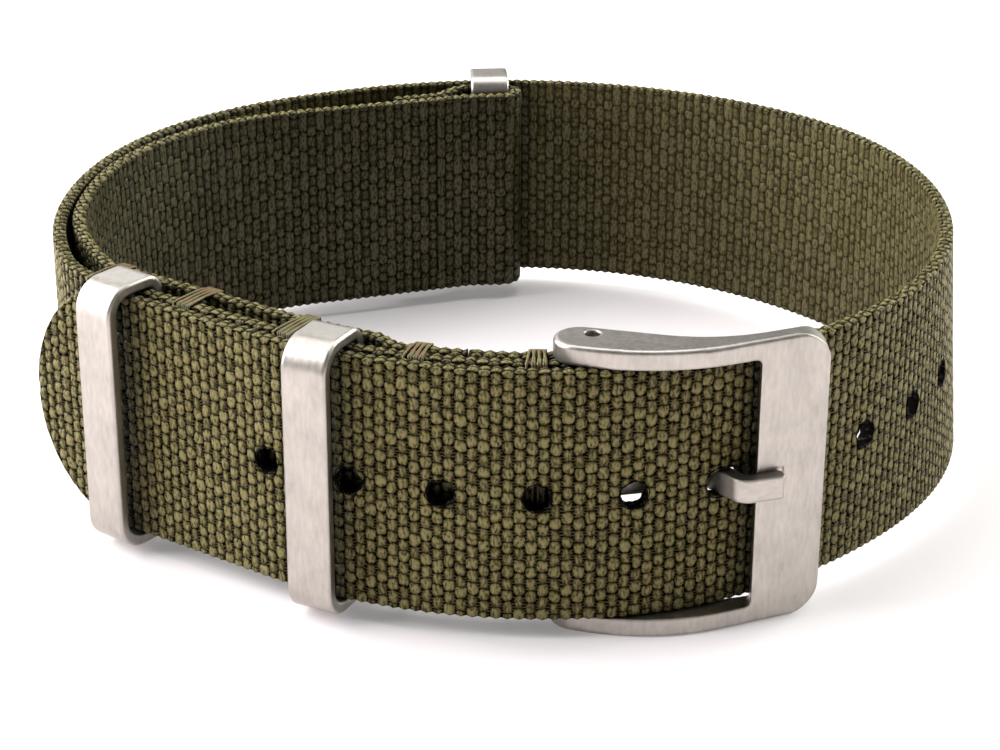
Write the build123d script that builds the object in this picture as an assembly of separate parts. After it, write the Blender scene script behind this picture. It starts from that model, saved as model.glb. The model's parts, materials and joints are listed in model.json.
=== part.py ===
from build123d import *

import os
from math import atan2, cos, degrees, hypot, radians, sin, sqrt, tan

# A nylon pass-through watch strap, closed as it lies on a table. All lengths are in millimetres.
# While it is built, X runs to the right along the front, Y to the back, and Z up across the webbing,
# whose lower edge is at zero. The finished pieces are then moved so that the origin is the middle of
# the footprint, on the surface that the steel parts stand on.

# Webbing
strap_width = 20.0
strap_thickness = 1.2
strap_middle = strap_width / 2
half_thickness = strap_thickness / 2
tail_gap = 0.3
layer_gap = 0.1
cut_overrun = 0.12

# Steel loops
loop_width = 3.7
loop_wall = 0.95
loop_overhang = 1.15
loop_outer_play = 1.1
loop_inner_play = 0.2
loop_outer_corner = 2.4
loop_inner_corner = 1.5
loop_edge_chamfer = 0.15

# Plan of the main strap's outer face, from the tip of the tail round the wrist to the base under it.
# The tail is straight up to the front corner, where the front bend starts. A bend is its radius, then
# the turn in degrees.
front_corner_x = -18.42
front_corner_y = 4.31
tail_heading = -34.4
tip_round = 8.4
tail_straight = 23.0
front_bend = 38.05
right_front_bend = 31.1
right_side_bend = 42.45
right_back_bend = 35.8
back_bend = 34.8
left_back_bend = 39.45
right_front_turn = 27.7
right_side_turn = 23.6
right_back_turn = 59.5
back_turn = 25.9
left_back_turn = 86.9
left_side_turn = 67.0
base_straight = 17.0

# Places along the main strap, measured from the front corner
far_keeper_lead = -14.2
near_keeper_lead = 5.55
slide_lead = 140.4
tack_leads = (-17.3, -8.3, 1.6, 12.8, 22.15)
far_keeper_turn = -3.0

# Eyelets of the tail; the tang passes through one of them
hole_pitch = 7.15
hole_radius = 1.05
hole_count = 10
tang_hole_index = 5
tang_hole_extra_length = 0.8

# Spring bar: a tube with two sprung tips, on which the buckle turns
pin_run = 3.3
bar_tube_radius = 0.85
bar_bore_radius = 0.65
bar_mouth_radius = 0.56
bar_mouth_length = 0.3
bar_end_play = 0.15
bar_wrap_play = 0.1
tip_piston_radius = 0.6
tip_piston_length = 2.4
tip_pivot_radius = 0.5
tip_pivot_reach = 0.85
spring_wire = 0.2
spring_coil_radius = 0.42
spring_turns = 6

# Fold of the main strap round the spring bar
fold_turn = 38.0
fold_back_bend = 0.4
fold_end_length = 6.3

# Buckle frame, seen from the side: a lobe that the pin enters off its middle, and a swept arm
lobe_radius = 2.0
lobe_offset_x = -0.85
lobe_offset_y = -0.55
arm_front_heading = -20.0
arm_front_bend = 16.0
arm_back_heading = -14.0
arm_back_run = 5.6
arm_back_bend = 12.0
arm_end_heading = 23.0
frame_length = 20.35
frame_overhang = 1.55
frame_side_play = 0.1
frame_bar_width = 5.3
frame_bar_thickness = 1.2
frame_bar_end_round = 0.6
frame_corner = 2.7
frame_window_corner = 0.5
frame_edge_round = 0.3
pivot_hole_radius = 0.6

# Tang
tang_width = 1.8
tang_thickness = 1.1
tang_eye_radius = 1.6
tang_heading = 13.0
tang_corner_lead = 3.65
tang_rise = 3.8
tang_rise_heading = -50.0
tang_back_bend = 0.6
tang_crest_bend = 1.3
tang_tip_run = 3.5
tang_tip_heading = 18.0
tang_end_round = 0.35
notch_play = 0.25
notch_floor_play = 0.06

# Under-strap, its fold round the slide keeper's bar, and the seam that closes the fold
fold_past_bar = 0.25
flap_jog_bend = 4.0
flap_jog_turn = 14.4
flap_straight = 14.9
flap_left_turn = 34.0
flap_side_turn = 63.0
flap_base_bend = 6.0
flap_join_lead = -17.5
flap_step_bend = 1.5
flap_step_turn = 35.0
flap_end_length = 4.2
flap_lap_run = 0.35
under_step_turn = 30.0
under_end_length = 4.6

# Thread
tack_width = 1.5
tack_thread = 0.14
tack_slack = 0.03
tack_loose = 0.35
stitch_count = 8
stitch_length = 1.5
stitch_width = 0.32
stitch_rise = 0.14
stitch_margin = 1.6

# Depths below the tail's outer face of what lies under it, all the way round
base_depth = strap_thickness + tail_gap
bar_depth = base_depth + strap_thickness + loop_inner_play
under_depth = bar_depth + loop_wall + loop_inner_play
sewn_depth = base_depth + strap_thickness + layer_gap

# Places along the main strap's line, which starts at the tip of the tail
far_keeper_place = tail_straight + far_keeper_lead
near_keeper_place = tail_straight + near_keeper_lead
slide_place = tail_straight + slide_lead
tack_places = [tail_straight + lead for lead in tack_leads]


class Route:
    """A line in plan made of tangent straights and arcs. A positive turn goes left."""

    def __init__(self, x, y, heading):
        self.x, self.y, self.heading = x, y, heading
        self.poses = [(x, y, heading)]
        self.spans = []

    def _arrive(self, span):
        self.spans.append(span)
        self.poses.append((self.x, self.y, self.heading))
        return self

    def run(self, length):
        """Goes straight on."""
        self.x += length * cos(radians(self.heading))
        self.y += length * sin(radians(self.heading))
        return self._arrive((length, None, 0))

    def bend(self, radius, turn):
        """Follows an arc of the line's own radius."""
        side = 1 if turn > 0 else -1
        start, end = radians(self.heading), radians(self.heading + turn)
        self.x += side * radius * (sin(end) - sin(start))
        self.y += side * radius * (cos(start) - cos(end))
        self.heading += turn
        return self._arrive((radius * abs(radians(turn)), radius, turn))

    def run_onto_circle(self, radius, side, centre, circle):
        """Runs straight, then bends on the given side until it lies along a circle on that side."""
        ux, uy = cos(radians(self.heading)), sin(radians(self.heading))
        qx = self.x - side * radius * uy - centre[0]
        qy = self.y + side * radius * ux - centre[1]
        along = qx * ux + qy * uy
        length = -along + sqrt(along * along - qx * qx - qy * qy + (circle - radius) ** 2)
        cx, cy = qx + length * ux, qy + length * uy
        landing = degrees(atan2(side * cx, -side * cy))
        turn = (landing - self.heading + 180) % 360 - 180
        return self.run(length).bend(radius, turn)

    def bend_until(self, mid_heading, end_heading, x, y):
        """Adds two arcs whose radii bring the line to a point."""
        h0, h1, h2 = radians(self.heading), radians(mid_heading), radians(end_heading)
        a, b = sin(h1) - sin(h0), sin(h2) - sin(h1)
        c, d = cos(h0) - cos(h1), cos(h1) - cos(h2)
        dx, dy = x - self.x, y - self.y
        first = (dx * d - b * dy) / (a * d - b * c)
        second = (a * dy - c * dx) / (a * d - b * c)
        self.bend(first, mid_heading - self.heading)
        return self.bend(second, end_heading - self.heading)

    def centre(self, index):
        """Centre of an arc of the line."""
        x, y, heading = self.poses[index]
        reach = self.spans[index][1] * (1 if self.spans[index][2] > 0 else -1)
        return x - reach * sin(radians(heading)), y + reach * cos(radians(heading))

    def at(self, place, depth=0):
        """Point and heading at a distance along the line, and a depth to the left of it."""
        for (x, y, heading), (length, radius, turn) in zip(self.poses, self.spans):
            if place <= length:
                break
            place -= length
        spot = Route(x, y, heading)
        if radius is None:
            spot.run(place)
        else:
            spot.bend(radius, turn * place / length)
        ahead = radians(spot.heading)
        return spot.x - depth * sin(ahead), spot.y + depth * cos(ahead), spot.heading

    def edges(self, depth=0):
        """Lines and arcs of the line's parallel at a depth to its left."""
        edges = []
        for (x, y, heading), (length, radius, turn) in zip(self.poses, self.spans):
            ends = []
            for share in (0, 1 / 2, 1):
                spot = Route(x, y, heading)
                if radius is None:
                    spot.run(length * share)
                else:
                    spot.bend(radius, turn * share)
                ahead = radians(spot.heading)
                ends.append((spot.x - depth * sin(ahead), spot.y + depth * cos(ahead)))
            edges.append(Line(ends[0], ends[2]) if radius is None else ThreePointArc(*ends))
        return edges

    def strip(self, near, far, height):
        """Solid of a band between two depths to the left of the line, standing on zero."""
        first, second = self.edges(near), self.edges(far)
        caps = [Line(first[0] @ 0, second[0] @ 0), Line(first[-1] @ 1, second[-1] @ 1)]
        return extrude(make_face(first + second + caps), amount=height, dir=(0, 0, 1))


def standing_at(x, y, heading):
    """A place in plan whose local X follows the strap and local Y goes to its inner side."""
    return Pos(x, y, 0) * Rot(0, 0, heading)


# The main strap's line is its outer face.
ahead = radians(tail_heading)
tip_x = front_corner_x - tail_straight * cos(ahead)
tip_y = front_corner_y - tail_straight * sin(ahead)
main_route = Route(tip_x, tip_y, tail_heading).run(tail_straight)
main_route.bend(front_bend, -tail_heading).bend(right_front_bend, right_front_turn)
main_route.bend(right_side_bend, right_side_turn).bend(right_back_bend, right_back_turn)
main_route.bend(back_bend, back_turn).bend(left_back_bend, left_back_turn)
main_route.bend_until(
    main_route.heading + left_side_turn,
    tail_heading + 360,
    front_corner_x - base_straight * cos(ahead) - base_depth * sin(ahead),
    front_corner_y - base_straight * sin(ahead) + base_depth * cos(ahead),
)
front_centre = main_route.centre(1)
main_route.run(base_straight).bend(front_bend - base_depth, -tail_heading)
main_route.run(pin_run)
wrap_radius = bar_tube_radius + bar_wrap_play + strap_thickness
pin_x, pin_y = main_route.x, main_route.y + wrap_radius
main_route.bend(wrap_radius, 180 + fold_turn)
main_route.run_onto_circle(
    fold_back_bend, -1, front_centre, front_bend - sewn_depth - strap_thickness
)
main_route.bend(front_bend - sewn_depth - strap_thickness, degrees(-fold_end_length / front_bend))


def hole_cutter(place, stretch):
    """Cutter for one round or stretched eyelet of the tail."""
    depth = strap_thickness + 2 * cut_overrun
    if stretch > 0:
        eyelet = SlotCenterToCenter(stretch, 2 * hole_radius)
    else:
        eyelet = Circle(hole_radius)
    punch = extrude(eyelet, amount=depth / 2, both=True)
    return standing_at(*main_route.at(place, half_thickness)) * Pos(0, 0, strap_middle) * (
        Rot(90, 0, 0) * punch
    )


def main_strap():
    """Tail, wrist loop, base and the fold round the spring bar, in one length of webbing."""
    strap = main_route.strip(0, strap_thickness, strap_width)
    waste = Pos(0, strap_middle) * Rectangle(2 * tip_round, strap_width)
    waste -= Pos(tip_round, strap_middle) * Ellipse(tip_round, strap_middle)
    waste -= Pos(2 * tip_round, strap_middle) * Rectangle(2 * tip_round, strap_width)
    cutter = Rot(90, 0, 0) * extrude(waste, amount=strap_thickness + cut_overrun, both=True)
    strap -= standing_at(*main_route.at(0)) * cutter
    for index in range(hole_count):
        stretch = tang_hole_extra_length if index == tang_hole_index else 0
        strap -= hole_cutter(tang_crossing() + (index - tang_hole_index) * hole_pitch, stretch)
    slot = Cylinder(wrap_radius + cut_overrun, tang_width + 4 * notch_play)
    strap -= Pos(pin_x, pin_y, strap_middle) * slot
    return strap


def under_route():
    """Middle line of the under-strap, from the slide keeper's fold to its sewn end at the base."""
    bar_end = slide_place - loop_width / 2 - fold_past_bar
    lap_end = slide_place + loop_width / 2 + flap_lap_run
    folded_radius = left_back_bend - base_depth - half_thickness
    inner_radius = left_back_bend - under_depth - half_thickness
    x, y, heading = main_route.at(lap_end, base_depth + half_thickness)
    sweep = degrees((lap_end - bar_end) / left_back_bend)
    route = Route(x, y, heading + 180).bend(folded_radius, -sweep)
    route.bend((folded_radius - inner_radius) / 2, -180).bend(inner_radius, sweep)
    route.bend(flap_jog_bend, flap_jog_turn).run(flap_straight)
    join_place = tail_straight + flap_join_lead
    join_x, join_y, join_heading = main_route.at(join_place, under_depth + half_thickness)
    side_heading = route.heading + flap_left_turn
    turn_in = side_heading + flap_side_turn
    base_heading = join_heading + 360
    back = Route(join_x, join_y, base_heading - 180).bend(flap_base_bend, turn_in - base_heading)
    route.bend_until(side_heading, turn_in, back.x, back.y)
    route.bend(flap_base_bend, base_heading - turn_in)
    step_place = near_keeper_place + loop_width / 2 + flap_lap_run
    front_radius = front_bend - under_depth - half_thickness
    route.run(-flap_join_lead)
    route.bend(front_radius, degrees((step_place - tail_straight) / front_bend))
    route.bend(flap_step_bend, -under_step_turn)
    sewn_radius = front_bend - sewn_depth - half_thickness
    route.run_onto_circle(flap_step_bend, 1, front_centre, sewn_radius)
    return route.bend(sewn_radius, degrees(under_end_length / front_bend))


def lap_route(whole):
    """Middle line of the folded end, from the slide keeper's bar to its raw edge."""
    x, y, heading = whole.poses[0]
    route = Route(x, y, heading + 180)
    route.bend(flap_step_bend, flap_jog_turn + flap_step_turn)
    line_x, line_y, line_heading = whole.poses[4]
    ahead = radians(line_heading)
    after = Route(route.x, route.y, route.heading).bend(flap_step_bend, -flap_step_turn)
    side = (line_x - after.x) * -sin(ahead) + (line_y - after.y) * cos(ahead)
    route.run((side - strap_thickness - layer_gap) / sin(radians(flap_step_turn)))
    route.bend(flap_step_bend, -flap_step_turn)
    return route.run(flap_end_length)


flap_route = under_route()
raw_route = lap_route(flap_route)


def under_strap():
    """Short layer on the wrist side, folded round the slide keeper's bar."""
    flap = flap_route.strip(-half_thickness, half_thickness, strap_width)
    return flap + raw_route.strip(-half_thickness, half_thickness, strap_width)


def steel_loop(place, turn):
    """Flat steel loop round the tail and the layer under it, its inner bar between two layers."""
    outer_depth = bar_depth + loop_wall + loop_outer_play + loop_wall
    height = strap_width + 2 * loop_overhang
    outer = Rectangle(outer_depth, height)
    inner = Rectangle(outer_depth - 2 * loop_wall, height - 2 * loop_wall)
    outer = round_corners(outer, loop_outer_corner, loop_inner_corner)
    inner = round_corners(
        inner, loop_outer_corner - loop_wall, loop_inner_corner - loop_wall
    )
    band = extrude(Plane.YZ * (outer - inner), amount=loop_width / 2, both=True)
    band = chamfer(band.edges().filter_by(Plane.YZ), loop_edge_chamfer)
    spot = standing_at(*main_route.at(place, bar_depth + loop_wall / 2)) * Rot(0, 0, turn)
    return spot * Pos(0, (loop_wall - outer_depth) / 2, strap_middle) * band


def round_corners(face, outer_radius, inner_radius):
    """Rounds the corners on the outer side of the strap more than those on the wrist side."""
    corners = face.vertices().sort_by(Axis.X)
    face = fillet(corners[:2], outer_radius)
    corners = face.vertices().sort_by(Axis.X)
    return fillet(corners[-2:], inner_radius)


lobe_x = pin_x + lobe_offset_x
lobe_y = pin_y + lobe_offset_y
frame_left = lobe_x - lobe_radius
frame_right = frame_left + frame_length
bar_left = frame_right - frame_bar_width
window_height = strap_width + 2 * frame_side_play
frame_height = strap_width + 2 * frame_overhang


def arm_line(heading, side):
    """Start of one face of the arm, leaving the lobe on the given side of the travel."""
    ahead = radians(heading)
    return Route(
        lobe_x - side * lobe_radius * sin(ahead), lobe_y + side * lobe_radius * cos(ahead), heading
    )


arm_front = arm_line(arm_front_heading, -1)
arm_front.bend(arm_front_bend, arm_end_heading - arm_front_heading)
arm_front.run((frame_right - arm_front.x) / cos(radians(arm_end_heading)))


def frame_outline():
    """Side outline of the buckle: a round lobe at the pin and a swept arm that ends in the bar."""
    back = arm_line(arm_back_heading, 1).run(arm_back_run)
    back.bend(arm_back_bend, arm_end_heading - arm_back_heading)
    back.run((frame_right - back.x) / cos(radians(arm_end_heading)))
    front_edges, back_edges = arm_front.edges(), back.edges()
    lobe = ThreePointArc(back_edges[0] @ 0, (frame_left, lobe_y), front_edges[0] @ 0)
    end = Line(front_edges[-1] @ 1, back_edges[-1] @ 1)
    face = make_face(front_edges + back_edges + [lobe, end])
    return fillet(face.vertices().sort_by(Axis.X)[-2:], frame_bar_end_round)


def buckle_frame():
    """One-piece buckle: two arms drilled for the spring bar, joined by the bar with its notch."""
    body = extrude(frame_outline(), amount=frame_height, dir=(0, 0, 1))
    body = Pos(0, 0, -frame_overhang) * body
    outer_faces = body.faces().filter_by(Plane.XY)
    body = fillet(outer_faces.edges(), frame_edge_round)
    view = Rectangle(frame_length, frame_height)
    view = Pos((frame_left + frame_right) / 2, strap_middle) * view
    view = fillet(view.vertices().sort_by(Axis.X)[-2:], frame_corner)
    body &= Rot(90, 0, 0) * extrude(view, amount=frame_length, both=True)
    window = Pos(bar_left - frame_length / 2, strap_middle) * Rectangle(
        frame_length, window_height
    )
    window = fillet(window.vertices().sort_by(Axis.X)[-2:], frame_window_corner)
    body -= Rot(90, 0, 0) * extrude(window, amount=frame_length, both=True)
    relief = arm_front.strip(frame_bar_thickness, frame_length / 2, window_height)
    body -= Pos(0, 0, -frame_side_play) * relief
    body -= Pos(pin_x, pin_y, strap_middle) * Cylinder(pivot_hole_radius, 2 * frame_height)
    return body - tang_notch()


def tang_line():
    """Outer face of the tang: along from its eye, up through the tail, and over onto the bar."""
    lean = radians(tang_heading)
    start = (pin_x + tang_eye_radius * sin(lean), pin_y - tang_eye_radius * cos(lean))
    back_run = (bar_left - tang_corner_lead - start[0]) / cos(lean)
    back_cut = tang_back_bend * tan(radians(tang_heading - tang_rise_heading) / 2)
    crest_cut = tang_crest_bend * tan(radians(tang_tip_heading - tang_rise_heading) / 2)
    line = Route(*start, tang_heading).run(back_run - back_cut)
    line.bend(tang_back_bend, tang_rise_heading - tang_heading)
    line.run(tang_rise - back_cut - crest_cut)
    line.bend(tang_crest_bend, tang_tip_heading - tang_rise_heading)
    return line.run(tang_tip_run - crest_cut)


tang_route = tang_line()


def tang_crossing():
    """Distance along the main strap at which the tang passes through the middle of the tail."""
    x, y, heading = tang_route.poses[2]
    ahead = radians(heading)
    centre_x, centre_y = main_route.centre(2)
    qx = x - tang_thickness / 2 * sin(ahead) - centre_x
    qy = y + tang_thickness / 2 * cos(ahead) - centre_y
    along = qx * cos(ahead) + qy * sin(ahead)
    reach = right_front_bend - half_thickness
    length = -along + sqrt(along * along - qx * qx - qy * qy + reach * reach)
    landing = atan2(qx + length * cos(ahead), -qy - length * sin(ahead))
    return main_route.spans[0][0] + main_route.spans[1][0] + right_front_bend * landing


def buckle_tang():
    """Flat bent tongue with an eye round the spring bar."""
    tongue = tang_route.strip(0, tang_thickness, tang_width)
    ends = tongue.edges().filter_by(Axis.Z).sort_by(Axis.X)[-2:]
    tongue = fillet(ends, tang_end_round)
    eye = Pos(pin_x, pin_y, tang_width / 2) * Cylinder(tang_eye_radius, tang_width)
    bore = Pos(pin_x, pin_y, tang_width / 2) * Cylinder(
        bar_tube_radius + bar_wrap_play, 2 * tang_width
    )
    return Pos(0, 0, strap_middle - tang_width / 2) * (tongue + eye - bore)


def tang_notch():
    """Cutter for the seat of the tang's tip in the bar's outer face."""
    x, y, heading = tang_route.poses[-1]
    depth = tang_thickness + notch_floor_play
    length = tang_tip_run
    seat = Pos(notch_play - length / 2, depth - length / 2) * Rectangle(length, length)
    seat = standing_at(x, y, heading) * seat
    height = tang_width + 2 * notch_play
    return Pos(0, 0, strap_middle - height / 2) * extrude(seat, amount=height, dir=(0, 0, 1))


def bar_tube():
    """Tube of the spring bar, its mouths closed in to keep the tips."""
    low = -frame_side_play + bar_end_play
    length = strap_width + 2 * frame_side_play - 2 * bar_end_play
    profile = Polyline(
        (bar_mouth_radius, 0),
        (bar_tube_radius, 0),
        (bar_tube_radius, length),
        (bar_mouth_radius, length),
        (bar_mouth_radius, length - bar_mouth_length),
        (bar_bore_radius, length - bar_mouth_length),
        (bar_bore_radius, bar_mouth_length),
        (bar_mouth_radius, bar_mouth_length),
        close=True,
    )
    turned = revolve(Plane.XZ * make_face(profile), axis=Axis.Z)
    return Pos(pin_x, pin_y, low) * turned


def bar_tip(upward):
    """Sprung tip: a piston kept inside the tube, and the pivot that enters the buckle's arm."""
    shoulder = strap_width + frame_side_play - bar_end_play - bar_mouth_length
    pivot_top = strap_width + frame_side_play + tip_pivot_reach
    piston = Pos(0, 0, shoulder - tip_piston_length / 2) * Cylinder(
        tip_piston_radius, tip_piston_length
    )
    pivot_length = pivot_top - shoulder + tip_piston_length / 2
    pivot = Pos(0, 0, pivot_top - pivot_length / 2) * Cylinder(tip_pivot_radius, pivot_length)
    tip = piston + pivot
    if not upward:
        tip = Pos(0, 0, strap_width) * Rot(180, 0, 0) * tip
    return Pos(pin_x, pin_y, 0) * tip


def bar_spring():
    """Coil spring between the two pistons."""
    reach = frame_side_play - bar_end_play - bar_mouth_length - tip_piston_length
    length = strap_width + 2 * reach - spring_wire
    path = Helix(pitch=length / spring_turns, height=length, radius=spring_coil_radius)
    section = Plane(origin=path @ 0, z_dir=path % 0) * Rectangle(spring_wire, spring_wire)
    coil = sweep(section, path=path, is_frenet=True)
    return Pos(pin_x, pin_y, (strap_width - length) / 2) * coil


def bar_tack(place, reach):
    """Turns of thread that bind the base's two layers over both of their edges."""
    near = base_depth - tack_slack
    depth = reach + tack_slack - near
    height = strap_width + 2 * tack_slack
    outside = Box(tack_width, depth + 2 * tack_thread, height + 2 * tack_thread)
    wrap = outside - Box(2 * tack_width, depth, height)
    spot = standing_at(*main_route.at(place))
    return spot * Pos(0, near + depth / 2, strap_middle) * wrap


def flap_seam():
    """Row of stitches that closes the under-strap's fold, seen on both of its faces."""
    x, y, heading = raw_route.poses[3]
    pitch = (strap_width - 2 * stitch_margin) / stitch_count
    faces = (
        half_thickness + strap_thickness + layer_gap + stitch_rise / 2,
        -half_thickness - stitch_rise / 2,
    )
    stitches = []
    for depth in faces:
        for index in range(stitch_count):
            level = stitch_margin + (index + 1 / 2) * pitch
            stitch = Box(stitch_width, stitch_rise, stitch_length)
            stitches.append(standing_at(x, y, heading) * Pos(stitch_width, depth, level) * stitch)
    return Compound([solid for stitch in stitches for solid in stitch.solids()])


def tacks():
    """The five bar tacks, from the far keeper to the spring bar."""
    deep = under_depth + strap_thickness
    sewn = sewn_depth + strap_thickness
    reaches = (deep + tack_loose, deep, deep, sewn, sewn)
    names = ("far_outer", "far_inner", "near_outer", "near_inner", "buckle")
    return {
        f"bar_tack_{name}": bar_tack(place, reach)
        for name, place, reach in zip(names, tack_places, reaches)
    }


def build():
    """Every piece of the strap by name, in the building frame."""
    pieces = {
        "main_strap": main_strap(),
        "under_strap": under_strap(),
        "buckle_frame": buckle_frame(),
        "buckle_tang": buckle_tang(),
        "spring_bar_tube": bar_tube(),
        "spring_bar_tip_upper": bar_tip(True),
        "spring_bar_tip_lower": bar_tip(False),
        "spring_bar_spring": bar_spring(),
        "keeper_far": steel_loop(far_keeper_place, far_keeper_turn),
        "keeper_near": steel_loop(near_keeper_place, 0),
        "slide_keeper": steel_loop(slide_place, 0),
        "flap_seam": flap_seam(),
    }
    pieces.update(tacks())
    return pieces


def in_metres(home, x, y):
    """A place in plan, as the finished part has it, in metres."""
    return [round((x + home.position.X) / 1000, 6), round((y + home.position.Y) / 1000, 6)]


def main():
    pieces = build()
    solids = [solid for piece in pieces.values() for solid in piece.solids()]
    box = Compound(solids).bounding_box()
    home = Pos(-box.center().X, -box.center().Y, -box.min.Z)
    os.makedirs("parts", exist_ok=True)
    for name, piece in pieces.items():
        export_step(home * piece, f"parts/{name}.step")
    print("pin axis", in_metres(home, pin_x, pin_y))
    for name, place in (
        ("far keeper", far_keeper_place),
        ("near keeper", near_keeper_place),
        ("slide keeper", slide_place),
    ):
        x, y, heading = main_route.at(place, bar_depth + loop_wall / 2)
        print(name, "inner bar", in_metres(home, x, y))


main()
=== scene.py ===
import json
from functools import partial
from math import atan2, ceil, cos, degrees, pi, radians, sin, sqrt

import bmesh
import bpy
import numpy as np
from bpy.props import FloatProperty, FloatVectorProperty, IntProperty, PointerProperty
from bpy.types import Operator, Panel, PropertyGroup
from mathutils import Matrix, Vector


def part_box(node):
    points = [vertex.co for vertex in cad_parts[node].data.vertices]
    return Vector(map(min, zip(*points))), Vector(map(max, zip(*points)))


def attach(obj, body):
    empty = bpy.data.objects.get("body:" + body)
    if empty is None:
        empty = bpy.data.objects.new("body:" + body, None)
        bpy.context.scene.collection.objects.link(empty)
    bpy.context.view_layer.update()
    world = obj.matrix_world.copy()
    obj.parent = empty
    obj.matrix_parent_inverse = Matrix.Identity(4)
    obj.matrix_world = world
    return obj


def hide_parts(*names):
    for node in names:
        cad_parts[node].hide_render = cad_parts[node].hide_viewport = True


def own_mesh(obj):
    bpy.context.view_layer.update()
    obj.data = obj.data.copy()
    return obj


bl_info = {
    "name": "Pass-through watch strap",
    "version": (1, 0, 0),
    "blender": (4, 5, 0),
    "location": "View3D > Sidebar > Strap",
    "description": "Dresses a buckled nylon watch strap and sets it on a pale table",
    "category": "Object",
}

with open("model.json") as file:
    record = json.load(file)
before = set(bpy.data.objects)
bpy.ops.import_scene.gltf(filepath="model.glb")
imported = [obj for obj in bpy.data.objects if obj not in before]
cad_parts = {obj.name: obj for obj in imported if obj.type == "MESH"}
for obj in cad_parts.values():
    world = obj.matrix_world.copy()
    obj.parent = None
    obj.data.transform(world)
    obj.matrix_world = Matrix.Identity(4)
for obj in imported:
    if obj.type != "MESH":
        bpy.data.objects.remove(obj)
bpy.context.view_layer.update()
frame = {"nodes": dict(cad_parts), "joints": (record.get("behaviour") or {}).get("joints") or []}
JOINTS = {joint["name"]: joint for joint in frame["joints"]}
MM = 0.001

# Plan of the webbing, in millimetres and degrees, as the solids have it
THICKNESS = 1.2
WIDTH = 20.0
TAIL_GAP = 0.3
LAYER_GAP = 0.1
LOOP_WIDTH = 3.7
LOOP_WALL = 0.95
LOOP_PLAY = 0.2
STAND = 1.55
FRONT_CORNER = (-18.42, 4.31)
TAIL_HEADING = -34.4
TIP_ROUND = 8.4
TAIL_STRAIGHT = 23.0
FRONT_BEND = 38.05
LOOP_BENDS = ((31.1, 27.7), (42.45, 23.6), (35.8, 59.5), (34.8, 25.9), (39.45, 86.9))
LEFT_SIDE_TURN = 67.0
BASE_STRAIGHT = 17.0
PIN_RUN = 3.3
WRAP_RADIUS = 0.85 + 0.1 + THICKNESS
FOLD_TURN = 38.0
FOLD_BACK_BEND = 0.4
FOLD_END = 6.3
HOLES = 10
FIRST_HOLE = 23.76
HOLE_PITCH = 7.15
HOLE_RADIUS = 1.05
TANG_HOLE = 5
TANG_HOLE_STRETCH = 0.8
NEAR_KEEPER = 28.55
SLIDE_KEEPER = 163.4
JOG_BEND = 4.0
JOG_TURN = 12.0
FLAP_STRAIGHT = 14.9
FLAP_LEFT_TURN = 33.0
FLAP_SIDE_TURN = 63.0
FLAP_BASE_BEND = 6.0
FLAP_JOIN = 5.5
STEP_BEND = 1.5
STEP_TURN = 35.0
UNDER_STEP_TURN = 30.0
UNDER_END = 5.55
RAW_END = 4.2
LAP_RUN = 0.35
PAST_BAR = -0.9
FOLD_SLACK = 0.8
TACKS = (5.7, 14.7, 24.6, 35.8, 45.15)
TACK_WIDTH = 1.5
BASE_DEPTH = THICKNESS + TAIL_GAP
BAR_DEPTH = BASE_DEPTH + THICKNESS + LOOP_PLAY
UNDER_DEPTH = BAR_DEPTH + LOOP_WALL + LOOP_PLAY
SEWN_DEPTH = BASE_DEPTH + THICKNESS + LAYER_GAP

# Where the webbing leans: the middle and half width of the stretch along it, and how far its upper
# edge, its lower edge and the whole of it move inwards
LEANS = ((101.0, 30.0, 0.75, -0.85, 0.0), (198.0, 24.0, -0.7, 0.0, 0.0))
UNDER_LEANS = ((56.0, 24.0, -0.5, 0.0, -0.8), (74.0, 10.0, 0.0, 0.0, -0.5))
PIN = Vector(JOINTS["frame_swing"]["pos_m"])

# The visible webbing, in millimetres: its samples, its round edges with their loops, and the share
# of the relief that is in the mesh. EDGE_WRAP shifts the weave with the depth round an edge, and
# ROUNDING keeps a sample on a rib's border on its own rib
ROW_STEP = 0.5
EDGE_STEPS = 5
EDGE_ROUND = 0.25
EDGE_WRAP = 1.6
LOOP_HEIGHT = 0.16
LOOP_SINK = 0.03
TIP_START = 0.05
TIP_STEPS = 30
RELIEF_SHARE = 0.75
RIB_SHIFT = 0.25
SLIM_DROP = 0.15
ROUNDING = 1e-4
TINY = 0.001
OUTER, WRIST, UPPER, LOWER = range(4)
WRIST_SLOT, MELTED_SLOT = 1, 2

# Lips of the holes: half the width and height of their section, how far it stands off the rim, and
# their ripples, each a size, a count round the hole and a shift from hole to hole
LIP_SECTION = (0.12, THICKNESS / 2 + 0.02)
LIP_REACH = 0.05
TANG_LIP_REACH = 0.16
LIP_RIPPLES = ((0.05, 5, 1.7), (0.035, 11, 1.0))

# Thread: its lift off the webbing in radii, the slants of even and odd turns in pitches, and the
# stitches' sizes in millimetres
THREAD_LIFT = 0.6
TACK_SLANTS = (-0.9, 1.1)
FACE_STEPS = 9
EDGE_SHARES = (0.25, 0.5, 0.75)
EDGE_BULGE = 0.12
STITCHES = 8
STITCH_LENGTH = 1.5
STITCH_MARGIN = 1.6
STITCH_ALONG = 0.32
STITCH_RISE = 0.1
STITCH_DIP = 0.22

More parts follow.
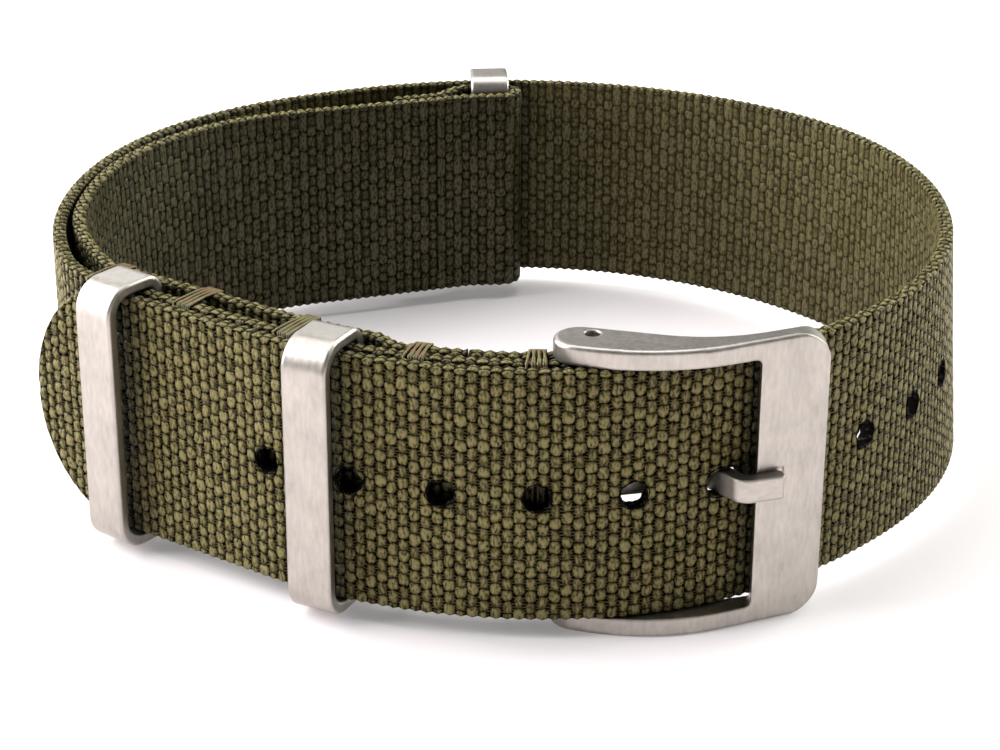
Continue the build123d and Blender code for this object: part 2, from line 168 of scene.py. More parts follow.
# Look of the weave, in shares of a rib, of a cell, of a knot or of the relief
WAVER_SCALE = 1.1
WAVER_ALONG = 0.4
WAVER_ACROSS = 0.3
PLUMP_LEAST = 0.96
PLUMP_SPREAD = 0.16
BESIDE_POWER = 2.6
OVER_POWER = 2.8
LONG_KNOT_POWER = 2.2
SLIM_DULL = 0.12
STREAK_POWER = 1.5
STREAK_SHARE = 0.3
WEFT_TURNS = 25.0
WEFT_FALL = 3.0
WEFT_TONE = 0.5
WEFT_RISE = 0.3
FIBRE_SCALE = (4800, 2300, 1)
FIBRE_LEAN = 14
FIBRE_CONTRAST = 4.2
FIBRE_RISE = 0.5
TONE_LEAST = 0.8
TONE_SPREAD = 0.3
# The ramp paints shade: the gaps and the knots' sides, low in the relief, are dark, and the highest
# fibres get a painted glint
WEAVE_STOPS = (0.0, 0.22, 0.6, 1.0)
GLINT = 2.0
BUMP_SHARE = 1.5
SHINE = 0.3

# Faces of the webbing: even cells or not, the slim knots' width, the brightness of the gaps, of the
# knots' sides and of their tops, and the depth of the bump. The dark gaps and sides are painted shade.
FACES = {
    "nylon_outer_face": (0.0, 0.84, (0.03, 0.33, 0.86), 1.0),
    "nylon_wrist_face": (1.0, 0.9, (0.2, 0.32, 0.44), 0.5),
    # The flap face is the wrist face's look darkened as painted shade
    "nylon_flap_face": (1.0, 0.9, (0.065, 0.15, 0.26), 0.5),
}

# Look of the steel, the thread, the melted nylon and the table
# Reach of the painted shade that darkens the webbing and the thread where other surfaces shut them in
PAINTED_SHADE_REACH = 2.5 * MM
SCRATCH_SCALE = 3000
SCRATCH_DEPTH = 0.02 * MM
CLOUD_SCALE = 420
LINE_SHARE = 0.55
STEEL_STOPS = (0.33, 0.67)
STEEL_SHADES = (0.84, 1.14)
# Share of the steel's colour on the spring bar's tips, which are darkened as painted shade
PAINTED_TIP_SHADE = 0.12
SMOOTHER = 0.07
ROUGHER = 0.09
TURNED_SMOOTHER = 0.06
THREAD_PATCH_SCALE = 1400
TWIST_SCALE = 1500
BROWN_SHARES = (1.5, 0.72, 0.8)
PALE_SHARE = 1.5
# Share of the thread's colour on the flap seam, which is darkened as painted shade
PAINTED_SEAM_SHADE = 0.3
MELTED_PATCH_SCALE = 2600
# Near-black of the melted nylon: partly its own dark, partly painted shade inside the holes
BURNT_AND_SHADE = (0.003, 0.002, 0.002)
MELTED_PALE = (0.09, 0.085, 0.07)
TABLE_COLOUR = (0.97, 0.905, 0.92, 1)
TABLE_HALF = 3.0
OWN_WHITE = 0.18
ROOM_COLOUR = (1, 0.995, 0.985, 1)

# Lamps: a place, a size and a colour each, in metres, all facing one point
LAMP_AIM = (0, 0, 0.01)
LAMPS = {
    "left": ((-0.5, 0.07, 0.28), 0.55, (1.0, 1.0, 1.0)),
    "right": ((0.46, 0.22, 0.24), 0.35, (0.95, 1.0, 0.94)),
    "top": ((0.0, 0.12, 0.6), 0.5, (1.0, 1.0, 1.0)),
    "back": ((-0.17, 0.6, 0.3), 0.3, (1.0, 1.0, 1.0)),
}


class Route:
    """A line in plan made of tangent straights and arcs, in millimetres. A positive turn goes left."""

    def __init__(self, x, y, heading):
        self.x, self.y, self.heading = x, y, heading
        self.poses = [(x, y, heading)]
        self.spans = []

    def _arrive(self, span):
        self.spans.append(span)
        self.poses.append((self.x, self.y, self.heading))
        return self

    def run(self, length):
        """Goes straight on."""
        self.x += length * cos(radians(self.heading))
        self.y += length * sin(radians(self.heading))
        return self._arrive((length, 0, 0))

    def bend(self, radius, turn):
        """Follows an arc of the line's own radius."""
        side = 1 if turn > 0 else -1
        start, end = radians(self.heading), radians(self.heading + turn)
        self.x += side * radius * (sin(end) - sin(start))
        self.y += side * radius * (cos(start) - cos(end))
        self.heading += turn
        return self._arrive((radius * abs(radians(turn)), radius, turn))

    def follow(self, length, radius, turn):
        """Goes on as a span of another line does."""
        return self.bend(radius, turn) if radius else self.run(length)

    def run_onto_circle(self, radius, side, centre, circle):
        """Runs straight, then bends on the given side until it lies along a circle on that side."""
        ux, uy = cos(radians(self.heading)), sin(radians(self.heading))
        qx = self.x - side * radius * uy - centre[0]
        qy = self.y + side * radius * ux - centre[1]
        along = qx * ux + qy * uy
        length = -along + sqrt(along * along - qx * qx - qy * qy + (circle - radius) ** 2)
        cx, cy = qx + length * ux, qy + length * uy
        landing = degrees(atan2(side * cx, -side * cy))
        return self.run(length).bend(radius, (landing - self.heading + 180) % 360 - 180)

    def bend_until(self, mid_heading, end_heading, x, y):
        """Adds two arcs whose radii bring the line to a point."""
        h0, h1, h2 = radians(self.heading), radians(mid_heading), radians(end_heading)
        a, b = sin(h1) - sin(h0), sin(h2) - sin(h1)
        c, d = cos(h0) - cos(h1), cos(h1) - cos(h2)
        dx, dy = x - self.x, y - self.y
        first = (dx * d - b * dy) / (a * d - b * c)
        second = (a * dy - c * dx) / (a * d - b * c)
        self.bend(first, mid_heading - self.heading)
        return self.bend(second, end_heading - self.heading)

    def centre(self, index):
        """Centre of an arc of the line."""
        x, y, heading = self.poses[index]
        reach = self.spans[index][1] * (1 if self.spans[index][2] > 0 else -1)
        return x - reach * sin(radians(heading)), y + reach * cos(radians(heading))

    def length(self):
        return sum(span[0] for span in self.spans)

    def place(self, along, depth):
        """Points in plan for arrays of distances along the line and depths to its left."""
        along, depth = np.asarray(along, float), np.asarray(depth, float)
        x, y = np.zeros(along.shape), np.zeros(along.shape)
        start = 0.0
        last = len(self.spans) - 1
        for index, ((px, py, heading), (length, radius, turn)) in enumerate(
            zip(self.poses, self.spans)
        ):
            low = along >= start if index else np.full(along.shape, True)
            high = along < start + length if index < last else np.full(along.shape, True)
            here = low & high
            local = along[here] - start
            h0 = radians(heading)
            if radius == 0:
                h = np.full(local.shape, h0)
                cx, cy = px + local * cos(h0), py + local * sin(h0)
            else:
                side = 1 if turn > 0 else -1
                h = h0 + side * local / radius
                cx = px + side * radius * (np.sin(h) - sin(h0))
                cy = py + side * radius * (cos(h0) - np.cos(h))
            x[here] = cx - depth[here] * np.sin(h)
            y[here] = cy + depth[here] * np.cos(h)
            start += length
        return x, y

    def at(self, along, depth):
        """One point in plan and the heading there."""
        x, y = self.place([along, along + TINY], [depth, depth])
        return x[0], y[0], degrees(atan2(y[1] - y[0], x[1] - x[0]))


def main_route():
    """Outer face of the main strap, from the tail's tip to the end of the fold at the spring bar."""
    x, y = FRONT_CORNER
    heading = TAIL_HEADING
    ahead = radians(heading)
    route = Route(x - TAIL_STRAIGHT * cos(ahead), y - TAIL_STRAIGHT * sin(ahead), heading)
    route.run(TAIL_STRAIGHT).bend(FRONT_BEND, -heading)
    for radius, turn in LOOP_BENDS:
        route.bend(radius, turn)
    route.bend_until(
        route.heading + LEFT_SIDE_TURN,
        heading + 360,
        x - BASE_STRAIGHT * cos(ahead) - BASE_DEPTH * sin(ahead),
        y - BASE_STRAIGHT * sin(ahead) + BASE_DEPTH * cos(ahead),
    )
    front = route.centre(1)
    route.run(BASE_STRAIGHT).bend(FRONT_BEND - BASE_DEPTH, -heading).run(PIN_RUN)
    route.pin = (route.x, route.y + WRAP_RADIUS)
    folded = FRONT_BEND - SEWN_DEPTH - THICKNESS
    route.bend(WRAP_RADIUS, 180 + FOLD_TURN).run_onto_circle(FOLD_BACK_BEND, -1, front, folded)
    return route.bend(folded, degrees(-FOLD_END / FRONT_BEND))


MAIN = main_route()
HOME = (PIN.x / MM - MAIN.pin[0], PIN.y / MM - MAIN.pin[1], STAND)


def under_route():
    """Middle of the under-strap, from the slide keeper's fold to its sewn end at the base."""
    half = THICKNESS / 2
    bar_end = SLIDE_KEEPER - LOOP_WIDTH / 2 - PAST_BAR
    lap_end = SLIDE_KEEPER + LOOP_WIDTH / 2 + LAP_RUN
    ring = LOOP_BENDS[-1][0]
    outer, inner = ring - BASE_DEPTH - half, ring - UNDER_DEPTH - half - FOLD_SLACK
    x, y, heading = MAIN.at(lap_end, BASE_DEPTH + half)
    sweep = degrees((lap_end - bar_end) / ring)
    route = Route(x, y, heading % 360 + 180).bend(outer, -sweep)
    route.bend((outer - inner) / 2, -180).bend(inner, sweep)
    route.bend(JOG_BEND, JOG_TURN).run(FLAP_STRAIGHT)
    join_x, join_y, join_heading = MAIN.at(FLAP_JOIN, UNDER_DEPTH + half)
    side = route.heading + FLAP_LEFT_TURN
    turn_in = side + FLAP_SIDE_TURN
    base = join_heading + 360
    back = Route(join_x, join_y, base - 180).bend(FLAP_BASE_BEND, turn_in - base)
    route.bend_until(side, turn_in, back.x, back.y)
    route.bend(FLAP_BASE_BEND, base - turn_in).run(TAIL_STRAIGHT - FLAP_JOIN)
    step = NEAR_KEEPER + LOOP_WIDTH / 2 + LAP_RUN
    route.bend(FRONT_BEND - UNDER_DEPTH - half, degrees((step - TAIL_STRAIGHT) / FRONT_BEND))
    route.bend(STEP_BEND, -UNDER_STEP_TURN)
    sewn = FRONT_BEND - SEWN_DEPTH - half
    route.run_onto_circle(STEP_BEND, 1, MAIN.centre(1), sewn)
    return route.bend(sewn, degrees(UNDER_END / FRONT_BEND))


UNDER = under_route()


def raw_route():
    """Middle of the folded end, from the slide keeper's bar to its raw edge."""
    x, y, heading = UNDER.poses[0]
    route = Route(x, y, heading + 180).bend(STEP_BEND, JOG_TURN + STEP_TURN)
    line_x, line_y, line_heading = UNDER.poses[4]
    ahead = radians(line_heading)
    after = Route(route.x, route.y, route.heading).bend(STEP_BEND, -STEP_TURN)
    side = (line_x - after.x) * -sin(ahead) + (line_y - after.y) * cos(ahead)
    route.run((side - THICKNESS - LAYER_GAP) / sin(radians(STEP_TURN)))
    return route.bend(STEP_BEND, -STEP_TURN).run(RAW_END)


RAW = raw_route()


def whole_under_route():
    """The under-strap in one line: the folded end, run backwards, and then the rest."""
    x, y, heading = RAW.poses[-1]
    route = Route(x, y, heading + 180)
    for length, radius, turn in reversed(RAW.spans):
        route.follow(length, radius, -turn)
    for span in UNDER.spans:
        route.follow(*span)
    return route


def to_world(x, y, z):
    """Plan millimetres to the model's metres."""
    return (x + HOME[0]) * MM, (y + HOME[1]) * MM, (z + HOME[2]) * MM


class WebbingSizes(PropertyGroup):
    """Sizes and colours of the woven nylon."""

    rib: FloatProperty(
        name="Rib pitch", description="Distance between ribs", default=0.87 * MM, unit="LENGTH"
    )
    cell: FloatProperty(
        name="Cell length",
        description="Repeat of the weave across the webbing",
        default=2.0 * MM,
        unit="LENGTH",
    )
    relief: FloatProperty(
        name="Relief", description="Depth between the knots", default=0.2 * MM, unit="LENGTH"
    )
    yarn: FloatVectorProperty(
        name="Yarn",
        description="Colour on top of the knots",
        subtype="COLOR",
        default=(0.118, 0.099, 0.033),
    )


class SteelSizes(PropertyGroup):
    """Finish of the brushed hardware."""

    colour: FloatVectorProperty(
        name="Steel", description="Colour of the steel", subtype="COLOR", default=(0.455, 0.422, 0.384)
    )
    roughness: FloatProperty(name="Roughness", description="Of the brushed faces", default=0.36)
    edge: FloatProperty(
        name="Edge softness",
        description="Radius that the light sees on edges",
        default=0.28 * MM,
        unit="LENGTH",
    )


class ThreadSizes(PropertyGroup):
    """Sewing thread of the tacks and the seam."""

    radius: FloatProperty(
        name="Thread radius", description="Radius of one strand", default=0.11 * MM, unit="LENGTH"
    )
    turns: IntProperty(name="Turns", description="Strands in one tack", default=7, min=2)
    colour: FloatVectorProperty(
        name="Thread colour",
        description="Main colour of the thread",
        subtype="COLOR",
        default=(0.13, 0.115, 0.028),
    )


class StageSizes(PropertyGroup):
    """Camera, lamps and table."""

    lens: FloatProperty(name="Lens", description="Focal length in millimetres", default=81.79)
    pitch: FloatProperty(
        name="Pitch", description="Camera's tilt", default=radians(21.35), unit="ROTATION"
    )
    roll: FloatProperty(
        name="Roll", description="Camera's lean", default=radians(0.2), unit="ROTATION"
    )
    shift: FloatProperty(name="Shift", description="Share of the frame's width", default=-0.1)
    stand_off: FloatProperty(
        name="Stand-off",
        description="Camera's distance before the tail",
        default=149.64 * MM,
        unit="LENGTH",
    )
    height: FloatProperty(
        name="Height",
        description="Camera's height over the webbing's lower edge",
        default=85.04 * MM,
        unit="LENGTH",
    )
    sideways: FloatProperty(
        name="Sideways",
        description="Camera's place beside the middle of the front",
        default=-0.31 * MM,
        unit="LENGTH",
    )
    room: FloatProperty(name="Room light", description="Level of the room", default=0.2)
    left: FloatProperty(name="Left lamp", description="Power", default=8.8, unit="POWER")
    right: FloatProperty(name="Right lamp", description="Power", default=3.6, unit="POWER")
    top: FloatProperty(name="Top lamp", description="Power", default=2.6, unit="POWER")
    back: FloatProperty(name="Back lamp", description="Power", default=0.5, unit="POWER")


def value_node(tree, operation, *inputs):
    """One Math node, whose inputs are numbers or sockets."""
    node = tree.nodes.new("ShaderNodeMath")
    node.operation = operation
    for slot, value in zip(node.inputs, inputs):
        if isinstance(value, (int, float)):
            slot.default_value = value
        else:
            tree.links.new(value, slot)
    return node.outputs[0]


def new_group(name, kind, inputs, outputs):
    """Empty shader group, whose inputs are all of one kind and whose outputs are numbers."""
    group = bpy.data.node_groups.new(name, "ShaderNodeTree")
    for label in inputs:
        group.interface.new_socket(label, in_out="INPUT", socket_type=kind)
    for label in outputs:
        group.interface.new_socket(label, in_out="OUTPUT", socket_type="NodeSocketFloat")
    return group, group.nodes.new("NodeGroupInput"), group.nodes.new("NodeGroupOutput")


def object_place(tree):
    """Place on the object, in metres."""
    return tree.nodes.new("ShaderNodeTexCoord").outputs["Object"]


def joined(tree, x, y):
    """Vector made of two values."""
    node = tree.nodes.new("ShaderNodeCombineXYZ")
    tree.links.new(x, node.inputs[0])
    tree.links.new(y, node.inputs[1])
    return node.outputs[0]


def noise(tree, place, scale, detail):
    """Outputs of a noise texture."""
    node = tree.nodes.new("ShaderNodeTexNoise")
    tree.links.new(place, node.inputs["Vector"])
    node.inputs["Scale"].default_value = scale
    node.inputs["Detail"].default_value = detail
    return node.outputs


def ramp(tree, source, stops):
    """Colour ramp from a value: each stop is a place and a colour."""
    node = tree.nodes.new("ShaderNodeValToRGB")
    while len(node.color_ramp.elements) < len(stops):
        node.color_ramp.elements.new(0.5)
    for element, (place, colour) in zip(node.color_ramp.elements, stops):
        element.position = place
        element.color = (*colour, 1)
    tree.links.new(source, node.inputs[0])
    return node.outputs[0]


def add_bump(tree, shader, height, distance, strength=1.0, normal=None):
    """Gives a shader bump from a height, on top of a normal where there is one."""
    node = tree.nodes.new("ShaderNodeBump")
    node.inputs["Distance"].default_value = distance
    node.inputs["Strength"].default_value = strength
    tree.links.new(height, node.inputs["Height"])
    if normal is not None:
        tree.links.new(normal, node.inputs["Normal"])
    tree.links.new(node.outputs[0], shader.inputs["Normal"])


def add_painted_shade(tree, shader, colour):
    """Gives a shader its colour with painted shade, darker where other surfaces shut it in."""
    node = tree.nodes.new("ShaderNodeAmbientOcclusion")
    node.samples = 4
    node.inputs["Distance"].default_value = PAINTED_SHADE_REACH
    tree.links.new(colour, node.inputs["Color"])
    tree.links.new(node.outputs["Color"], shader.inputs["Base Color"])


def knot_group():
    """Woven relief from a place along the webbing and a place across it.

    Ribs stand across the webbing. Every second rib is shifted by a quarter of a cell, and each cell
    holds a full knot and a slim one. Even Cells makes the first kind fill the whole cell on every
    second rib, as on the wrist side. Wefts are the fine threads seen beside the slim knots. The rows
    waver a little, and each knot has its own tone and width.
    """
    group, source, sink = new_group(
        "woven_knots",
        "NodeSocketFloat",
        ("Along", "Across", "Slim Width", "Even Cells"),
        ("Height", "Tone", "Wefts"),
    )
    math = partial(value_node, group)
    along, across = source.outputs["Along"], source.outputs["Across"]
    waver = noise(group, joined(group, along, across), WAVER_SCALE, detail=3)
    split = group.nodes.new("ShaderNodeSeparateColor")
    group.links.new(waver["Color"], split.inputs[0])
    along = math("MULTIPLY_ADD", math("SUBTRACT", split.outputs[0], 0.5), WAVER_ALONG, along)
    across = math("MULTIPLY_ADD", math("SUBTRACT", split.outputs[1], 0.5), WAVER_ACROSS, across)
    rib = math("FLOOR", along)
    odd = math("FLOORED_MODULO", rib, 2.0)
    beside = math("ABSOLUTE", math("MULTIPLY_ADD", math("FRACT", along), 2.0, -1.0))
    row = math("MULTIPLY_ADD", odd, RIB_SHIFT, across)
    whole = math("MULTIPLY", source.outputs["Even Cells"], math("SUBTRACT", 1.0, odd))
    doubled = math("MULTIPLY", row, math("SUBTRACT", 2.0, whole))
    knot = math("FLOOR", doubled)
    slim = math("MULTIPLY", math("FLOORED_MODULO", knot, 2.0), math("SUBTRACT", 1.0, whole))
    over = math("ABSOLUTE", math("MULTIPLY_ADD", math("FRACT", doubled), 2.0, -1.0))
    thinner = math("SUBTRACT", 1.0, source.outputs["Slim Width"])
    narrow = math("SUBTRACT", 1.0, math("MULTIPLY", slim, thinner))
    random = group.nodes.new("ShaderNodeTexWhiteNoise")
    group.links.new(joined(group, rib, knot), random.inputs["Vector"])
    tone = random.outputs["Value"]
    plump = math("MULTIPLY", narrow, math("MULTIPLY_ADD", tone, PLUMP_SPREAD, PLUMP_LEAST))
    fall_beside = math("POWER", math("DIVIDE", beside, plump), BESIDE_POWER)
    fall_over = math("POWER", over, math("MULTIPLY_ADD", whole, LONG_KNOT_POWER, OVER_POWER))
    fall = math("ADD", fall_beside, fall_over)
    dome = math("SQRT", math("MAXIMUM", math("SUBTRACT", 1.0, fall), 0.0))
    height = math("MULTIPLY", dome, math("SUBTRACT", 1.0, math("MULTIPLY", slim, SLIM_DULL)))
    # The slim knots darken towards their sides; through the colour ramp this is painted shade as well
    # as relief
    streak = math("SUBTRACT", 1.0, math("MULTIPLY", slim, math("POWER", beside, STREAK_POWER)))
    streaked = math("MULTIPLY_ADD", streak, STREAK_SHARE, 1 - STREAK_SHARE)
    near_knot = math("MINIMUM", math("MULTIPLY", dome, WEFT_FALL), 1.0)
    low = math("MULTIPLY", slim, math("SUBTRACT", 1.0, near_knot))
    turns = math("SINE", math("MULTIPLY", math("FRACT", doubled), WEFT_TURNS))
    wefts = math("MULTIPLY", low, math("MAXIMUM", turns, 0.0))
    group.links.new(math("MULTIPLY", height, streaked), sink.inputs["Height"])
    group.links.new(tone, sink.inputs["Tone"])
    group.links.new(wefts, sink.inputs["Wefts"])
    return group


def brushed_group():
    """Fine parallel scratches and soft clouds, from the place on the object and a stretch."""
    group, source, sink = new_group(
        "brushed_lines", "NodeSocketVector", ("Stretch",), ("Lines", "Cloud")
    )
    place = object_place(group)
    scaled = group.nodes.new("ShaderNodeVectorMath")
    scaled.operation = "MULTIPLY"
    group.links.new(place, scaled.inputs[0])
    group.links.new(source.outputs["Stretch"], scaled.inputs[1])
    lines = noise(group, scaled.outputs[0], SCRATCH_SCALE, detail=3)
    cloud = noise(group, place, CLOUD_SCALE, detail=4)
    group.links.new(lines["Fac"], sink.inputs["Lines"])
    group.links.new(cloud["Fac"], sink.inputs["Cloud"])
    return group


def material(name):
    """New material with its tree and its Principled shader."""
    made = bpy.data.materials.new(name)
    made.use_nodes = True
    return made, made.node_tree, made.node_tree.nodes["Principled BSDF"]


def woven_material(name, sizes, knots, even, slim_width, tones, depth):
    """Nylon webbing whose weave follows the piece's own UV map, in metres along and across.

    even and slim_width are the knots' inputs, depth is a share of the relief, and tones are the
    brightness of the gaps, of the knots' sides and of their tops, as shares of the yarn's. The dark
    gaps and sides are painted shade, and the ramp's last stop is a painted glint on the highest
    fibres.
    """
    made, tree, shader = material(name)
    nodes, links = tree.nodes, tree.links
    math = partial(value_node, tree)
    uv = nodes.new("ShaderNodeUVMap")
    uv.uv_map = "flat"
    parts = nodes.new("ShaderNodeSeparateXYZ")
    links.new(uv.outputs[0], parts.inputs[0])
    weave = nodes.new("ShaderNodeGroup")
    weave.node_tree = knots
    links.new(math("DIVIDE", parts.outputs[0], sizes.rib), weave.inputs["Along"])
    links.new(math("DIVIDE", parts.outputs[1], sizes.cell), weave.inputs["Across"])
    weave.inputs["Even Cells"].default_value = even
    weave.inputs["Slim Width"].default_value = slim_width
    height, tone, wefts = weave.outputs
    stretch = nodes.new("ShaderNodeMapping")
    stretch.inputs["Scale"].default_value = FIBRE_SCALE
    stretch.inputs["Rotation"].default_value = (0, 0, radians(FIBRE_LEAN))
    links.new(uv.outputs[0], stretch.inputs["Vector"])
    fibre = noise(tree, stretch.outputs[0], scale=1.0, detail=3)["Fac"]
    fibres = math("MULTIPLY_ADD", math("SUBTRACT", fibre, 0.5), FIBRE_CONTRAST, 1.0)
    own_tone = math("MULTIPLY_ADD", tone, TONE_SPREAD, TONE_LEAST)
    toned = math("MULTIPLY", math("MULTIPLY", height, fibres), own_tone)
    toned = math("MAXIMUM", toned, math("MULTIPLY", wefts, WEFT_TONE))
    # Painted shade in the gaps and on the knots' sides, and a painted glint on the highest fibres
    gap_shade, side, top = [[channel * share for channel in sizes.yarn] for share in tones]
    glint = [channel * GLINT for channel in top]
    colour = ramp(tree, toned, list(zip(WEAVE_STOPS, (gap_shade, side, top, glint))))
    # Painted shade darkens the weave between the layers, near the keepers and inside the holes
    add_painted_shade(tree, shader, colour)
    raised = math("MULTIPLY_ADD", fibre, FIBRE_RISE, height)
    raised = math("MULTIPLY_ADD", wefts, WEFT_RISE, raised)
    add_bump(tree, shader, raised, sizes.relief * depth * BUMP_SHARE)
    links.new(math("MULTIPLY", toned, SHINE), shader.inputs["Specular IOR Level"])
    shader.inputs["Roughness"].default_value = 0.5
    return made


def steel_material(name, colour, lines, stretch, roughness, edge):
    """Brushed stainless steel: scratches along one direction, and edges that catch the light."""
    made, tree, shader = material(name)
    math = partial(value_node, tree)
    shader.inputs["Metallic"].default_value = 1.0
    brushed = tree.nodes.new("ShaderNodeGroup")
    brushed.node_tree = lines
    brushed.inputs["Stretch"].default_value = stretch
    line, cloud = brushed.outputs
    mixed = math("ADD", math("MULTIPLY", line, LINE_SHARE), math("MULTIPLY", cloud, 1 - LINE_SHARE))
    shades = [[min(1.0, channel * shade) for channel in colour] for shade in STEEL_SHADES]
    tree.links.new(ramp(tree, mixed, list(zip(STEEL_STOPS, shades))), shader.inputs["Base Color"])
    rough = tree.nodes.new("ShaderNodeMapRange")
    rough.inputs["To Min"].default_value = roughness - SMOOTHER
    rough.inputs["To Max"].default_value = roughness + ROUGHER
    tree.links.new(line, rough.inputs["Value"])
    tree.links.new(rough.outputs[0], shader.inputs["Roughness"])
    soft = tree.nodes.new("ShaderNodeBevel")
    soft.samples = 6
    soft.inputs["Radius"].default_value = edge
    add_bump(tree, shader, line, SCRATCH_DEPTH, strength=0.25, normal=soft.outputs[0])
    return made


def thread_material(name, colour):
    """Twisted polyester thread, with paler and browner strands."""
    made, tree, shader = material(name)
    place = object_place(tree)
    patch = noise(tree, place, THREAD_PATCH_SCALE, detail=2)["Fac"]
    brown = [channel * share for channel, share in zip(colour, BROWN_SHARES)]
    pale = [min(1.0, channel * PALE_SHARE) for channel in colour]
    toned = ramp(tree, patch, ((0.38, brown), (0.5, colour), (0.7, pale)))
    # Painted shade darkens the thread where it lies close to the webbing
    add_painted_shade(tree, shader, toned)
    twist = tree.nodes.new("ShaderNodeTexWave")
    twist.bands_direction = "DIAGONAL"
    twist.inputs["Scale"].default_value = TWIST_SCALE
    tree.links.new(place, twist.inputs["Vector"])
    add_bump(tree, shader, twist.outputs["Fac"], distance=0.05 * MM, strength=0.6)
    shader.inputs["Roughness"].default_value = 0.45
    return made


def melted_material(name):
    """Nylon melted smooth round a burnt hole or along a cut end; its near-black is partly the melted
    nylon's own dark and partly painted shade, so that the hole walls read as dark pits.
    """
    made, tree, shader = material(name)
    patch = noise(tree, object_place(tree), MELTED_PATCH_SCALE, detail=3)["Fac"]
    colour = ramp(tree, patch, ((0.55, BURNT_AND_SHADE), (0.85, MELTED_PALE)))
    tree.links.new(colour, shader.inputs["Base Color"])
    add_bump(tree, shader, patch, distance=0.06 * MM)
    shader.inputs["Roughness"].default_value = 0.8
    shader.inputs["Specular IOR Level"].default_value = 0.03
    return made


def table_material():
    """Pale table: part plain white that keeps the shadow, part its own white for what looks at it."""
    made, tree, shader = material("pale_table")
    shader.inputs["Base Color"].default_value = TABLE_COLOUR
    shader.inputs["Roughness"].default_value = 0.9
    shader.inputs["Specular IOR Level"].default_value = 0.1
    glow = tree.nodes.new("ShaderNodeEmission")
    glow.inputs["Strength"].default_value = 1.0
    path = tree.nodes.new("ShaderNodeLightPath").outputs
    seen = value_node(tree, "MAXIMUM", path["Is Camera Ray"], path["Is Glossy Ray"])
    seen = value_node(tree, "MAXIMUM", seen, path["Is Transmission Ray"])
    mix = tree.nodes.new("ShaderNodeMixShader")
    tree.links.new(value_node(tree, "MULTIPLY", seen, OWN_WHITE), mix.inputs[0])
    tree.links.new(shader.outputs[0], mix.inputs[1])
    tree.links.new(glow.outputs[0], mix.inputs[2])
    tree.links.new(mix.outputs[0], tree.nodes["Material Output"].inputs["Surface"])
    return made


def mesh_object(name, bm):
    """New object in the scene from a bmesh, which is used up."""
    mesh = bpy.data.meshes.new(name)
    bm.to_mesh(mesh)
    bm.free()
    made = bpy.data.objects.new(name, mesh)
    bpy.context.scene.collection.objects.link(made)
    return made


def finished(name, bm, materials, body, replaced=()):
    """Turns a bmesh into a piece of the strap that rides on a body."""
    piece = mesh_object(name, bm)
    for made in materials:
        piece.data.materials.append(made)
    piece.data.shade_smooth()
    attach(piece, body)
    if replaced:
        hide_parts(*replaced)
    return piece


def knot_height(along, across, even):
    """Relief of the weave, from 0 to 1, for arrays of ribs along and cells across."""
    rib = np.floor(along + ROUNDING)
    odd = np.mod(rib, 2)
    beside = 2 * (along - rib - 0.5)
    whole = even * (1 - odd)
    doubled = (across + RIB_SHIFT * odd) * (2 - whole)
    knot = np.floor(doubled + ROUNDING)
    over = 2 * (doubled - knot - 0.5)
    slim = np.mod(knot, 2) * (1 - whole)
    reach = 1 - beside**2 - np.where(whole > 0, over**4, over**2)
    return np.sqrt(np.maximum(reach, 0)) * (1 - SLIM_DROP * slim)


def section_ring():
    """Samples round the webbing's section: level across, depth and side, in millimetres.

    They run up the outer face, over the upper edge, down the wrist's face and under the lower edge.
    """
    low, high = EDGE_ROUND, WIDTH - EDGE_ROUND
    rows = int(round((high - low) / ROW_STEP)) + 1
    levels = np.linspace(low, high, rows)
    turn = np.linspace(0, pi, EDGE_STEPS + 2)[1:-1]
    bulge = EDGE_ROUND * np.sin(turn)
    middle = THICKNESS / 2
    over, under = middle * (1 - np.cos(turn)), middle * (1 + np.cos(turn))
    z = np.concatenate([levels, high + bulge, levels[::-1], low - bulge])
    d = np.concatenate([np.zeros(rows), over, np.full(rows, THICKNESS), under])
    side = np.repeat([OUTER, UPPER, WRIST, LOWER], [rows, EDGE_STEPS, rows, EDGE_STEPS])
    return z, d, side


def fill_ends(bm):
    """Closes every open rim of a bmesh with a face."""
    ends = [edge for edge in bm.edges if edge.is_boundary]
    bmesh.ops.holes_fill(bm, edges=ends, sides=0)


